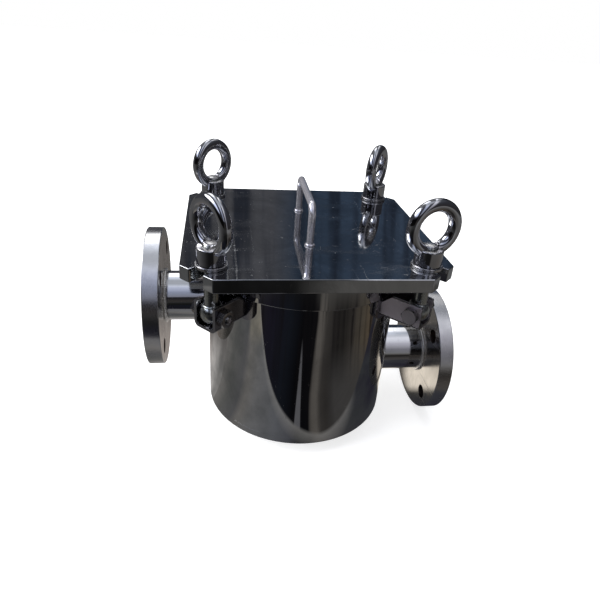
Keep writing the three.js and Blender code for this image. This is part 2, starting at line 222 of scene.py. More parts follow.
# ---------- materials ----------
def new_material(name):
    material = bpy.data.materials.new(name)
    material.use_nodes = True
    return material, Graph(material.node_tree)


def finish_material(graph, colour, roughness, normal, metallic=0.0):
    graph.surface(graph.fed("ShaderNodeBsdfPrincipled", {
        "Base Color": colour, "Metallic": metallic, "Roughness": roughness, "Normal": normal,
    }))


def scratches(graph, place, angle, scale, share):
    """Thin straight scratches across XY at an angle: 1 on a scratch, 0 off it."""
    long_way = graph.mapping(place, scale=(scale, scale * 0.012, scale * 0.25), rotation=(0, 0, angle))
    lines = graph.noise(long_way, 1.0, detail=2)
    return graph.ramp(lines, [(0, 0.0), (1 - share, 0.0), (1 - share + 0.03, 1.0)])


def polished(name, tint, rough=(0.03, 0.09), wave=0.02, scratch=0.25, smudge_scale=14, stain=0.86,
             metallic=1.0, wipes=0.0):
    """Mirror-polished stainless: soft smudges and wipes, hair scratches and the slight waviness of sheet."""
    material, graph = new_material(name)
    place = graph.coords()
    smudge = graph.noise(place, smudge_scale, detail=5, roughness=0.65, distortion=0.6)
    hair = graph.math(
        "MAXIMUM", scratches(graph, place, 0.5, 420, 0.33), scratches(graph, place, -0.9, 300, 0.31))
    specks = graph.ramp(graph.noise(place, 210, detail=2), [(0, 0.0), (0.68, 0.0), (0.72, 1.0)])
    marks = graph.math("ADD", graph.times(hair, 0.1), graph.times(specks, 0.3 * scratch))
    if wipes:
        across = graph.mapping(place, scale=(9, 34, 9), rotation=(0, 0, 0.7))
        wiped = graph.noise(across, 1.0, detail=7, roughness=0.72)
        marks = graph.math("ADD", marks, graph.spread(wiped, 0, wipes, 0.5, 0.72))
    dark = tuple(c * stain for c in tint)
    colour = graph.mix(graph.rise(smudge, 0.35, 0.7), (*tint, 1), (*dark, 1))
    roughness = graph.math("ADD", graph.spread(smudge, rough[0], rough[1], 0.35, 0.7), marks)
    ripple = graph.bump(graph.noise(place, 9, detail=1), wave, distance=0.02)
    normal = graph.bump(hair, scratch * 0.1, distance=0.0001, normal=ripple)
    finish_material(graph, colour, roughness, normal, metallic)
    return material


def brushed(name, tint, rough=(0.2, 0.34), lines=(1, 1, 1), line_scale=900, depth=0.12, metallic=1.0):
    """Machined or brushed stainless, with fine tool lines that run across the stretched axes."""
    material, graph = new_material(name)
    place = graph.coords()
    tool = graph.noise(graph.mapping(place, scale=lines), line_scale, detail=3, roughness=0.6)
    stain = graph.noise(place, 22, detail=4, roughness=0.6)
    dark = tuple(c * 0.8 for c in tint)
    colour = graph.mix(graph.rise(stain, 0.4, 0.75), (*tint, 1), (*dark, 1))
    roughness = graph.math(
        "ADD", graph.spread(tool, rough[0], rough[1], 0.3, 0.7), graph.spread(stain, 0, 0.06, 0.4, 0.7))
    finish_material(graph, colour, roughness, graph.bump(tool, depth, distance=0.0003), metallic)
    return material


def rubber(name):
    material, graph = new_material(name)
    place = graph.coords()
    grain = graph.noise(place, 700, detail=4)
    cloud = graph.noise(place, 30, detail=3)
    colour = graph.mix(cloud, (0.018, 0.017, 0.016, 1), (0.04, 0.038, 0.036, 1))
    finish_material(graph, colour, graph.spread(cloud, 0.55, 0.75), graph.bump(grain, 0.3, distance=0.0002))
    return material


SHELL_STEEL = polished(
    "shell_steel", (0.63, 0.63, 0.63), rough=(0.02, 0.05), wave=0.03, scratch=0.12, stain=0.8)
COVER_STEEL = polished(
    "cover_steel", (0.7, 0.71, 0.73), rough=(0.02, 0.07), scratch=0.5, stain=0.6, wipes=0.15)
BRACKET_STEEL = polished("bracket_steel", (0.4, 0.39, 0.42), rough=(0.14, 0.22), wave=0.01)
# A rougher, part-diffuse and slightly paler copy of the bracket steel: painted light that makes one bracket's
# sides read as lit.
LIT_BRACKET_STEEL = polished(
    "lit_satin_bracket_steel", (0.43, 0.39, 0.43), rough=(0.3, 0.38), wave=0.01, scratch=0.05, metallic=0.84)
PIPE_STEEL = polished("pipe_steel", (0.74, 0.74, 0.76), rough=(0.04, 0.1), wave=0.02)
# Pale brushed steel for the upward faces of the swing bolts' ends and of the eye nuts' bases: the tool lines
# are the steel's own, the paler tint is painted light from above.
LIT_TOP_STEEL = brushed("lit_top_steel", (0.82, 0.8, 0.8), rough=(0.2, 0.32), line_scale=300, depth=0.05)
EYE_STEEL = polished("eye_nut_steel", (0.64, 0.64, 0.67), rough=(0.04, 0.08), wave=0.004, scratch=0.04)
FLANGE_RIM_STEEL = brushed(
    "flange_rim_steel", (0.8, 0.79, 0.8), rough=(0.14, 0.26), lines=(6, 0.35, 0.35), depth=0.03)
FLANGE_FACE_STEEL = polished(
    "flange_face_steel", (0.72, 0.69, 0.65), rough=(0.16, 0.26), wave=0.02, smudge_scale=26, stain=0.78)
# Dark steel for the walls of the flange's bolt holes: the dark tint is painted shade inside the holes; the
# high roughness is the drilled wall's own.
BORE_SHADE_STEEL = brushed("flange_bore_painted_shade", (0.16, 0.13, 0.12), rough=(0.4, 0.55), line_scale=400)
HANDLE_STEEL = polished(
    "handle_steel", (0.92, 0.9, 0.97), rough=(0.07, 0.12), wave=0.0, scratch=0.05, metallic=0.84)
HEAD_STEEL = polished(
    "head_steel", (0.27, 0.25, 0.27), rough=(0.3, 0.38), wave=0.0, scratch=0.05, metallic=0.84)
FASTENER_STEEL = polished("fastener_steel", (0.42, 0.41, 0.42), rough=(0.16, 0.22), wave=0.0, scratch=0.03)
WASHER_STEEL = brushed("washer_steel", (0.66, 0.65, 0.66), rough=(0.16, 0.28), line_scale=300, depth=0.03)
BOLT_STEEL = brushed("bolt_steel", (0.6, 0.62, 0.6), rough=(0.14, 0.26), lines=(1, 1, 5), line_scale=500)
WELD_STEEL = brushed(
    "weld_steel", (0.88, 0.86, 0.84), rough=(0.12, 0.24), line_scale=260, depth=0.15, metallic=0.85)
SATIN_STEEL = brushed("satin_steel", (0.62, 0.62, 0.64), rough=(0.26, 0.4), line_scale=420)
SHEET_STEEL = brushed("basket_steel", (0.6, 0.6, 0.62), rough=(0.28, 0.42), lines=(1, 1, 0.2))
GASKET_RUBBER = rubber("gasket_rubber")


# ---------- mesh helpers ----------
SHARP_ANGLE = radians(38)


def as_mesh(name, bm):
    mesh = bpy.data.meshes.new(name)
    bm.to_mesh(mesh)
    bm.free()
    return mesh


def add_object(name, data):
    made = bpy.data.objects.new(name, data)
    bpy.context.scene.collection.objects.link(made)
    return made


def piece(name, bm, material, body, slot, *nodes):
    """Turns a bmesh into a piece that rides on a body and stands for CAD nodes."""
    bmesh.ops.recalc_face_normals(bm, faces=bm.faces)
    mesh = as_mesh(name, bm)
    mesh.materials.append(material)
    mesh.polygons.foreach_set("use_smooth", [True] * len(mesh.polygons))
    mesh.set_sharp_from_angle(angle=SHARP_ANGLE)
    made = add_object(name, mesh)
    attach(made, body)
    if nodes:
        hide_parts(*nodes)
    return made


def finish_faces(made, material, test):
    """Gives another material to the faces that pass the test."""
    made.data.materials.append(material)
    index = len(made.data.materials) - 1
    for face in made.data.polygons:
        if test(face):
            face.material_index = index


def band_outline(inner, outer, low, high):
    """The (r, z) corners of a ring with a rectangular section."""
    return [(inner, low), (outer, low), (outer, high), (inner, high)]


def rounded(corners, radii, steps=4):
    """The closed outline through corners, with each corner rounded to its radius."""
    if not isinstance(radii, (list, tuple)):
        radii = [radii] * len(corners)
    outline = []
    count = len(corners)
    for i, (corner, radius) in enumerate(zip(corners, radii)):
        here = Vector(corner)
        before = Vector(corners[i - 1]) - here
        after = Vector(corners[(i + 1) % count]) - here
        if radius <= 0:
            outline.append(tuple(here))
            continue
        half = before.angle(after) / 2
        reach = min(radius / tan(half), 0.49 * before.length, 0.49 * after.length)
        start, end = here + before.normalized() * reach, here + after.normalized() * reach
        true_radius = reach * tan(half)
        inwards = (before.normalized() + after.normalized()).normalized()
        centre = here + inwards * (true_radius / sin(half))
        first, last = start - centre, end - centre
        turn = first.angle_signed(last)
        for k in range(steps + 1):
            a = -turn * k / steps
            outline.append((
                centre.x + first.x * cos(a) - first.y * sin(a),
                centre.y + first.x * sin(a) + first.y * cos(a),
            ))
    return outline


def lathe(outline, segments=160, closed=True, ripple=None):
    """Turns an (r, z) outline about Z. An open outline starts and ends on the axis."""
    bm = bmesh.new()
    rings = []
    for r, z in outline:
        if r < 1e-7:
            rings.append([bm.verts.new((0, 0, z))])
            continue
        ring = []
        for i in range(segments):
            a = TAU * i / segments
            grow = ripple(a, r, z) if ripple else 0.0
            ring.append(bm.verts.new(((r + grow) * cos(a), (r + grow) * sin(a), z)))
        rings.append(ring)
    pairs = list(zip(rings, rings[1:]))
    if closed:
        pairs.append((rings[-1], rings[0]))
    for a, b in pairs:
        for i in range(segments):
            j = (i + 1) % segments
            if len(a) == 1 and len(b) == 1:
                continue
            if len(a) == 1:
                bm.faces.new((a[0], b[i], b[j]))
            elif len(b) == 1:
                bm.faces.new((a[j], a[i], b[0]))
            else:
                bm.faces.new((a[i], b[i], b[j], a[j]))
    return bm


def bridge(bm, first, second):
    """Joins two closed rings of points with a band of faces."""
    count = len(first)
    for i in range(count):
        j = (i + 1) % count
        bm.faces.new((first[i], first[j], second[j], second[i]))


def prism(outline, low, high):
    """A closed outline in XY, extruded from low to high."""
    bm = bmesh.new()
    base = [bm.verts.new((x, y, low)) for x, y in outline]
    top = [bm.verts.new((x, y, high)) for x, y in outline]
    bm.faces.new(base[::-1])
    bm.faces.new(top)
    bridge(bm, base, top)
    return bm


def sweep(points, radius, sides=20, closed=False):
    """A round bar through points, with its section carried along without twist."""
    bm = bmesh.new()
    count = len(points)
    points = [Vector(p) for p in points]
    normal = None
    rings = []
    for i, p in enumerate(points):
        before = points[i - 1] if closed or i else p
        after = points[(i + 1) % count] if closed or i < count - 1 else p
        ahead = (after - before).normalized()
        if normal is None:
            normal = ahead.orthogonal().normalized()
        normal = (normal - ahead * normal.dot(ahead)).normalized()
        side = ahead.cross(normal)
        r = radius(i / (count - 1)) if callable(radius) else radius
        rings.append([
            bm.verts.new(p + (normal * cos(TAU * k / sides) + side * sin(TAU * k / sides)) * r)
            for k in range(sides)
        ])
    pairs = list(zip(rings, rings[1:]))
    if closed:
        pairs.append((rings[-1], rings[0]))
    for a, b in pairs:
        bridge(bm, a, b)
    if not closed:
        bm.faces.new(rings[0][::-1])
        bm.faces.new(rings[-1])
    return bm


def move(bm, matrix):
    bmesh.ops.transform(bm, matrix=matrix, verts=bm.verts)
    return bm


def merged(first, *rest):
    """Adds the other meshes' faces to the first."""
    for other in rest:
        holder = as_mesh("holder", other)
        first.from_mesh(holder)
        bpy.data.meshes.remove(holder)
    return first


def boolean(bm, tools, operation="DIFFERENCE"):
    """Cuts or joins a bmesh with others, exactly."""
    def as_object(source):
        bmesh.ops.recalc_face_normals(source, faces=source.faces)
        return add_object("work", as_mesh("work", source))

    target = as_object(bm)
    cutters = [as_object(tool) for tool in tools]
    for cutter in cutters:
        step = target.modifiers.new("cut", "BOOLEAN")
        step.operation = operation
        step.solver = "EXACT"
        step.object = cutter
    bpy.context.view_layer.update()
    result = bmesh.new()
    result.from_object(target, bpy.context.evaluated_depsgraph_get())
    for work in [target, *cutters]:
        mesh = work.data
        bpy.data.objects.remove(work)
        bpy.data.meshes.remove(mesh)
    return result


def flats(made):
    """Keeps a piece's flats flat where it is shaded smooth."""
    keep = made.modifiers.new("flats", "WEIGHTED_NORMAL")
    keep.keep_sharp = True
    keep.weight = 100
    return made


def soften(made, width, segments=3, angle=40):
    """Rounds a piece's hard edges and keeps its flats flat."""
    bevel = made.modifiers.new("edges", "BEVEL")
    bevel.width = width
    bevel.segments = segments
    bevel.limit_method = "ANGLE"
    bevel.angle_limit = radians(angle)
    bevel.harden_normals = True
    return flats(made)


def polygon(radius, sides):
    return [(radius * cos(TAU * i / sides), radius * sin(TAU * i / sides)) for i in range(sides)]


def rod(radius, low, high, sides=48):
    return prism(polygon(radius, sides), low, high)


def weld_path(points, radius, pitch=2.4 * MM, height=0.35 * MM):
    """A weld bead along a closed path, with the overlapping ripples of hand welding."""
    length = sum((Vector(b) - Vector(a)).length for a, b in zip(points, points[1:] + points[:1]))
    ripples = max(8, round(length / pitch))

    def swell(t):
        return radius + height * abs(sin(pi * t * ripples)) - height / 2

    return sweep(points, swell, sides=10, closed=True)


def circle(radius, z, count):
    return [(x, y, z) for x, y in polygon(radius, count)]


def saddle(side, z, pipe_r, shell_r, count):
    """The closed line where a horizontal pipe meets the upright shell."""
    line = []
    for i in range(count):
        a = TAU * i / count
        y, dz = pipe_r * cos(a), pipe_r * sin(a)
        line.append((side * sqrt(shell_r ** 2 - y ** 2), y, z + dz))
    return line


# ---------- vessel ----------
def along_x(side, z):
    return Matrix.Translation((0, 0, z)) @ Matrix.Rotation(side * pi / 2, 4, "Y")


def shell_wall():
    """The upright cylinder, open at the top, with a hole for each pipe."""
    wall = lathe(band_outline(SHELL_R - SHELL_WALL, SHELL_R, SHELL[0].z, SHELL[1].z), 256)
    holes = [
        move(rod(PIPE_BORE_R, SHELL_R - 40 * MM, SHELL_R + 30 * MM, 64), along_x(side, z))
        for side, z in ((-1, INLET_Z), (1, OUTLET_Z))
    ]
    flats(piece("vessel_wall", boolean(wall, holes), SHELL_STEEL, "root", "mirror_steel", "vessel_shell"))


def vessel_bottom():
    """The bottom plate with its rounded lower edge, and the polished seam above it."""
    top, edge = BOTTOM[1].z, BOTTOM_EDGE_R
    disc = [(0, 0), (SHELL_R - edge, 0)]
    disc += [(SHELL_R - edge + edge * sin(a), edge - edge * cos(a))
             for a in (radians(15 * k) for k in range(1, 7))]
    disc += [(SHELL_R, top), (0, top)]
    flats(piece("vessel_bottom", lathe(disc, 256, closed=False), SHELL_STEEL, "root", "mirror_steel",
                "bottom_plate"))
    seam, flush = (BOTTOM[1].z + SHELL[0].z) / 2, SHELL_R + 0.03 * MM
    band = band_outline(SHELL_R - 0.5 * MM, flush, seam - SEAM_HALF, seam + SEAM_HALF)
    flats(piece("bottom_seam", lathe(band, 256), SHELL_STEEL, "root", "mirror_steel"))


def top_ring():
    """The ring that the cover closes on, with the gasket's groove in its top and a seam under it."""
    low, high = RING[0].z, RING[1].z
    floor = high - GROOVE_DEPTH
    ring = rounded([
        (RING_BORE_R, low), (RING_R, low), (RING_R, high), (GROOVE_OUTER_R, high),
        (GROOVE_OUTER_R, floor), (GROOVE_INNER_R, floor), (GROOVE_INNER_R, high), (RING_BORE_R, high),
    ], [0.6 * MM, 1.2 * MM, 1 * MM, 0.4 * MM, 0.3 * MM, 0.3 * MM, 0.4 * MM, 0.8 * MM])
    flats(piece("top_ring", lathe(ring, 256), SHELL_STEEL, "root", "mirror_steel", "body_ring"))
    seam = weld_path(circle(SHELL_R + 0.6 * MM, low - 0.6 * MM, 720), RING_SEAM_R, height=0.15 * MM)
    piece("ring_seam", seam, SHELL_STEEL, "root", "mirror_steel")


def gasket_and_seat():
    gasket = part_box("cover_gasket")
    section = band_outline(GROOVE_INNER_R + GAP, GROOVE_OUTER_R - GAP, gasket[0].z, gasket[1].z)
    section = rounded(section, (gasket[1].z - gasket[0].z) * 0.4, 6)
    piece("gasket_ring", lathe(section, 200), GASKET_RUBBER, "root", "gasket_rubber", "cover_gasket")
    seat = rounded(band_outline(SEAT_BORE_R, SEAT[1].x, SEAT[0].z, SEAT[1].z),
                   [1 * MM, 0.2 * MM, 0.2 * MM, 1.2 * MM])
    flats(piece("basket_seat", lathe(seat, 160), SATIN_STEEL, "root", "inner_steel", "seat_ring"))


def pipe_and_flange(word, side, z):
    """A pipe stub shaped to the shell, its plate flange and the welds at both of its ends."""
    end = FLANGE_FACE - PIPE_RECESS
    tube = rounded(band_outline(PIPE_BORE_R, PIPE_R, SHELL_R - 20 * MM, end), [0, 0, 0.4 * MM, 0.4 * MM], 2)
    tube = move(lathe(tube, 128), along_x(side, z))
    tube = boolean(tube, [rod(SHELL_R + GAP, z - 2 * PIPE_R, z + 2 * PIPE_R, 256)])
    flats(piece(f"{word}_stub", tube, PIPE_STEEL, "root", "pipe_steel", f"{word}_pipe"))

    bore, back = PIPE_R + GAP, FLANGE_BACK
    disc = rounded(band_outline(bore, FLANGE_R, back, FLANGE_FACE), [0.3 * MM, 1.1 * MM, 1.1 * MM, 0.3 * MM])
    holes = []
    for i in range(4):
        a = (i + 0.5) / 4 * TAU
        hole = rod(FLANGE_HOLE_R, back - 1 * MM, FLANGE_FACE + 1 * MM)
        holes.append(move(hole, Matrix.Translation(
            (FLANGE_PITCH_R * cos(a), FLANGE_PITCH_R * sin(a), 0))))
    disc = move(boolean(lathe(disc, 192), holes), along_x(side, z))
    made = piece(f"{word}_plate_flange", disc, FLANGE_FACE_STEEL, "root", "flange_steel", f"{word}_flange")
    across = FLANGE_PITCH_R / sqrt(2)

    def on_rim(face):
        return hypot(face.center.y, face.center.z - z) > FLANGE_R - 1.2 * MM

    def in_hole(face):
        to_hole = hypot(abs(face.center.y) - across, abs(face.center.z - z) - across)
        return to_hole < FLANGE_HOLE_R + 0.2 * MM and abs(face.normal.x) < 0.5

    finish_faces(made, FLANGE_RIM_STEEL, on_rim)
    # The bolt-hole walls take the dark steel: painted shade in the holes.
    finish_faces(made, BORE_SHADE_STEEL, in_hole)
    soften(made, 0.5 * MM, 2, 50)

    back_bead = circle(PIPE_R + 0.9 * MM, back - 1.4 * MM, 480)
    back_bead = weld_path(back_bead, FLANGE_WELD_R, height=0.2 * MM)
    piece(f"{word}_flange_weld", move(back_bead, along_x(side, z)), WELD_STEEL, "root", "pipe_steel")
    saddle_bead = saddle(side, z, PIPE_R + 0.5 * MM, SHELL_R + 0.5 * MM, 480)
    saddle_bead = weld_path(saddle_bead, SHELL_WELD_R)
    piece(f"{word}_shell_weld", saddle_bead, WELD_STEEL, "root", "pipe_steel")


# ---------- brackets, pivots and swing bolts, in a corner's own frame: X outwards ----------
BRACKET = {"width": 30 * MM, "wall": 3.5 * MM, "low": 167 * MM, "top": 196 * MM, "end": 166 * MM}
BRACKET_BEND_R = 6 * MM
BRACKET_CUT = 11.2 * MM
PAD_HALF = 22 * MM
PAD_LOW = 164 * MM
PAD_CORNER_R = 8 * MM
PIVOT_R = 5 * MM
EYE_BALL_R = 12.5 * MM
EYE_HALF = 9.5 * MM
BOLT_R = 8 * MM
BOLT_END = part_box("swing_bolt_front_left")[1].z
BOLT_END_H = 2.2 * MM
THREAD_PITCH = 2 * MM
ON_SIDE = Matrix.Rotation(pi / 2, 4, "X")
STAND_UP = Matrix.Rotation(pi / 2, 4, "Z") @ ON_SIDE
PIVOT_HOLE_R = 5.3 * MM
PIVOT_FLATS = 17 * MM
PIVOT_HEAD_H = 6.4 * MM
PIVOT_NUT_H = 8 * MM


def bracket_mesh():
    """A bent channel, open at the top, shaped to the ring, with its inner top corners cut on a slope."""
    half, wall, low, top = BRACKET["width"] / 2, BRACKET["wall"], BRACKET["low"], BRACKET["top"]
    inner, floor = half - wall, low + wall
    corners = [(-half, top), (-half, low), (half, low), (half, top),
               (inner, top), (inner, floor), (-inner, floor), (-inner, top)]
    inner_bend = BRACKET_BEND_R - wall
    radii = [1.2 * MM, BRACKET_BEND_R, BRACKET_BEND_R, 1.2 * MM, 1.2 * MM, inner_bend, inner_bend, 1.2 * MM]
    channel = move(prism(rounded(corners, radii, 6), RING_R - 12 * MM, BRACKET["end"]), STAND_UP)
    cut_line = [
        (RING_R - 14 * MM, top - 10 * MM), (RING_R, top - 10 * MM), (RING_R + BRACKET_CUT, top),
        (RING_R + BRACKET_CUT, top + 1 * MM), (RING_R - 14 * MM, top + 1 * MM),
    ]
    corner_tool = move(prism(cut_line, -30 * MM, 30 * MM), ON_SIDE)
    saddle_tool = rod(RING_R, low - 1 * MM, top + 1 * MM, 192)
    hole = move(rod(PIVOT_HOLE_R, -30 * MM, 30 * MM, 32),
                Matrix.Translation((BOLT_PITCH_R, 0, PIVOT_Z)) @ ON_SIDE)
    return boolean(channel, [saddle_tool, corner_tool, hole])


def pad_mesh():
    """A curved backing plate between the shell and the bracket, with its lower corners rounded."""
    half, low, high, corner = PAD_HALF, PAD_LOW, RING[0].z - GAP, PAD_CORNER_R
    outline = rounded([(-half, high), (-half, low), (half, low), (half, high)], [0, corner, corner, 0], 8)
    block = move(prism(outline, SHELL_R - 20 * MM, SHELL_R + 20 * MM), STAND_UP)
    band = lathe(band_outline(SHELL_R + GAP, RING_R - GAP, low - 1 * MM, high + 1 * MM), 256)
    return boolean(band, [block], "INTERSECT")


def chamfered_hex(flats_across, height, bore=0.0):
    """A hexagon with the turned chamfers of a bolt head or nut, from z = 0 to height."""
    reach, edge = flats_across / sqrt(3), flats_across / 2
    body = prism(polygon(reach, 6), 0, height)
    drop = (reach - edge) * tan(radians(30))
    turned = [(0, 0), (edge * 0.97, 0), (reach * 1.01, drop * 1.2)]
    turned += [(reach * 1.01, height - drop * 1.2), (edge * 0.97, height), (0, height)]
    shaped = boolean(body, [lathe(turned, 96, closed=False)], "INTERSECT")
    if bore:
        shaped = boolean(shaped, [rod(bore, -1 * MM, height + 1 * MM, 40)])
    return shaped


def thread(radius, low, high, pitch=THREAD_PITCH, depth=1.1 * MM, around=40, end_chamfer=0.7 * MM):
    """A threaded bar with a real helix, and a chamfered, slightly domed end at the top."""
    bm = bmesh.new()
    per_turn = 8
    dome_h = radius * 0.16
    high -= dome_h
    count = ceil((high - low) / pitch * per_turn)
    rings = []
    for j in range(count + 1):
        z = low + (high - low) * j / count
        ring = []
        for i in range(around):
            a = TAU * i / around
            phase = ((z - low) / pitch - i / around) % 1.0
            ridge = 1 - abs(2 * phase - 1)
            r = radius - depth * (1 - min(1.0, ridge * 1.25))
            r = min(r, radius - max(0.0, z - (high - end_chamfer)))
            blend = min(1.0, (z - low) / pitch)
            r = radius * (1 - blend) + r * blend
            ring.append(bm.verts.new((r * cos(a), r * sin(a), z)))
        rings.append(ring)
    for a, b in zip(rings, rings[1:]):
        bridge(bm, a, b)
    bm.faces.new(rings[0][::-1])
    last = rings[-1]
    for k in range(1, 6):
        a = radians(15 * k)
        dome = [bm.verts.new((v.co.x * cos(a), v.co.y * cos(a), high + dome_h * sin(a)))
                for v in rings[-1]]
        bridge(bm, last, dome)
        last = dome
    bm.faces.new(last)
    return bm


def swing_bolt_mesh():
    """The bolt's eye with its flat cheeks, its plain neck and the small fillet between them."""
    half = EYE_HALF
    ball = lathe([(EYE_BALL_R * sin(a), -EYE_BALL_R * cos(a))
                  for a in (pi * k / 32 for k in range(33))], 64, closed=False)
    slab = prism([(-20 * MM, -half), (20 * MM, -half), (20 * MM, half), (-20 * MM, half)], -20 * MM, 20 * MM)
    ball = move(boolean(ball, [slab], "INTERSECT"), Matrix.Translation((0, 0, PIVOT_Z)))
    neck = lathe(band_outline(0, BOLT_R, PIVOT_Z, COVER[0].z - 4 * MM), 64, closed=False)
    fillet_z, fillet_out, fillet_h = PIVOT_Z + EYE_BALL_R * 0.72, 2.2 * MM, 2.4 * MM
    fillet = [(0, fillet_z - 4 * MM)]
    fillet += [(BOLT_R + fillet_out * (1 - sin(a)), fillet_z + fillet_h * (1 - cos(a)))
               for a in (k * pi / 12 for k in range(7))]
    fillet += [(0, fillet_z + fillet_h)]
    eye = boolean(boolean(ball, [neck], "UNION"), [lathe(fillet, 64, closed=False)], "UNION")
    hole = move(rod(PIVOT_HOLE_R, -20 * MM, 20 * MM, 32), Matrix.Translation((0, 0, PIVOT_Z)) @ ON_SIDE)
    return boolean(eye, [hole])


def bracket_pieces(name, turn, faces_sideways):
    plate = piece(f"bracket_plate_{name}", move(bracket_mesh(), turn), BRACKET_STEEL, "root", "bracket_steel",
                  f"bracket_{name}")
    soften(plate, 0.7 * MM, 3, 50)
    # Only the front-right bracket's sides take the paler copy: painted light on that side.
    if name == "front_right":
        finish_faces(plate, LIT_BRACKET_STEEL, faces_sideways)
    soften(piece(f"bracket_pad_{name}", move(pad_mesh(), turn), BRACKET_STEEL, "root", "bracket_steel",
                 f"pad_{name}"), 0.9 * MM, 3, 50)


def pivot_pieces(name, across, faces_sideways):
    """A hexagon-headed bolt through the bracket and the swing bolt's eye, and the nut on its end."""
    side = BRACKET["width"] / 2 + GAP
    head = chamfered_hex(PIVOT_FLATS, PIVOT_HEAD_H)
    head = move(head, Matrix.Translation((0, 0, -side - PIVOT_HEAD_H)))
    tail = side + PIVOT_NUT_H + 2.5 * MM
    shank = thread(PIVOT_R, side - 2 * MM, tail, 1.5 * MM, 0.8 * MM, 32, 1 * MM)
    plain = rod(PIVOT_R, -side - 1 * MM, side - 2 * MM, 32)
    pivot = piece(f"pivot_{name}", move(merged(head, plain, shank), across), FASTENER_STEEL, "root",
                  "fastener_steel", f"pivot_bolt_{name}")
    soften(pivot, 0.3 * MM, 2, 50)
    finish_faces(pivot, HEAD_STEEL, faces_sideways)
    nut = move(chamfered_hex(PIVOT_FLATS, PIVOT_NUT_H, PIVOT_HOLE_R), Matrix.Translation((0, 0, side)))
    soften(piece(f"pivot_hex_nut_{name}", move(nut, across), FASTENER_STEEL, "root", "fastener_steel",
                 f"pivot_nut_{name}"), 0.3 * MM, 2, 50)


def corner_pieces(name, sx, sy):
    turn = Matrix.Rotation(atan2(sy, sx), 4, "Z")
    at_bolt = turn @ Matrix.Translation((BOLT_PITCH_R, 0, 0))
    across = at_bolt @ Matrix.Translation((0, 0, PIVOT_Z)) @ Matrix.Rotation(-pi / 2, 4, "X")
    sideways = turn @ Vector((0, 1, 0))

    def faces_sideways(face):
        return abs(face.normal.dot(sideways)) > 0.99

    bracket_pieces(name, turn, faces_sideways)
    pivot_pieces(name, across, faces_sideways)
    bolt = merged(swing_bolt_mesh(), thread(BOLT_R, COVER[0].z - 4 * MM, BOLT_END))
    made = piece(f"swing_bolt_bar_{name}", move(bolt, at_bolt), BOLT_STEEL, "root", "swing_bolt_steel",
                 f"swing_bolt_{name}")
    # The bolt's domed end takes the pale top steel: painted light on its top.
    finish_faces(made, LIT_TOP_STEEL, lambda face: face.center.z > BOLT_END - BOLT_END_H)


# ---------- cover ----------
def cover_outline():
    """A square whose corners are cut off at 45 degrees, with an open round-ended slot in each cut."""
    half, inner, slot = COVER_HALF, COVER_HALF - CORNER_CUT, SLOT_HALF
    mouth = (half + inner) / sqrt(2)
    outline = []
    for sx, sy in ((1, -1), (1, 1), (-1, 1), (-1, -1)):
        out = Vector((sx, sy)).normalized()
        left = Vector((-out.y, out.x))
        on_x_side, on_y_side = (sx * half, sy * inner), (sx * inner, sy * half)
        first, last = (on_y_side, on_x_side) if sx * sy < 0 else (on_x_side, on_y_side)
        outline.append(first)
        outline.append(tuple(out * mouth - left * slot))
        for k in range(17):
            a = pi * k / 16
            outline.append(tuple(out * BOLT_PITCH_R - left * slot * cos(a) - out * slot * sin(a)))
        outline.append(tuple(out * mouth + left * slot))
        outline.append(last)
    return outline


def cover_handle():
    """A bent round bar that stands on the middles of its two weld collars."""
    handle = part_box("cover_handle")
    r, bend = HANDLE_BAR_R, HANDLE_BEND_R
    low, top = handle[0].z, handle[1].z - r
    up = Vector((0, 0, 1))
    front, back = (sum(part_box(f"handle_collar_{word}"), Vector()) / 2 for word in ("front", "back"))
    front.z = back.z = 0
    grip = (back - front).normalized()
    turns = [radians(9 * k) for k in range(11)]
    line = [front + up * low, front + up * (low + top) / 2]
    line += [front + grip * bend * (1 - cos(a)) + up * (top - bend + bend * sin(a)) for a in turns]
    line += [front.lerp(back, k / 8) + up * top for k in range(2, 7)]
    line += [back - grip * bend * (1 - sin(a)) + up * (top - bend + bend * cos(a)) for a in turns]
    line += [back + up * (low + top) / 2, back + up * low]
    piece("handle_bar", sweep(line, r, 32), HANDLE_STEEL, "cover", "handle_steel", "cover_handle")
    low, high = COVER_TOP + 0.1 * MM, COVER_TOP + 2.2 * MM
    for word, leg in (("front", front), ("back", back)):
        ring = rounded([
            (r + 0.1 * MM, low), (r + 2.2 * MM, low), (r + 0.9 * MM, high), (r + 0.1 * MM, high),
        ], [0, 0.8 * MM, 0.8 * MM, 0], 4)
        collar = lathe(ring, 72, ripple=lambda a, rr, z: 0.18 * MM * sin(a * 14) if rr > 5.5 * MM else 0)
        piece(f"handle_weld_{word}", move(collar, Matrix.Translation(leg)), HANDLE_STEEL, "cover",
              "handle_collar_steel", f"handle_collar_{word}")


def cover():
    made = piece("cover_sheet", prism(cover_outline(), COVER[0].z, COVER[1].z), COVER_STEEL, "cover",
                 "cover_steel", "cover_plate")
    soften(made, 0.9 * MM, 3, 30)
    cover_handle()


# ---------- washers and eye nuts ----------
NUT_BASE_H = 17.5 * MM
NUT_BASE_R = 14.6 * MM
NUT_EDGE = 1.6 * MM
NUT_RING_R = 24.2 * MM
NUT_BAR_R = 6.7 * MM
NUT_BORE_R = 8.45 * MM
WASHER_R = 16.5 * MM
WASHER_BORE_R = 8.6 * MM


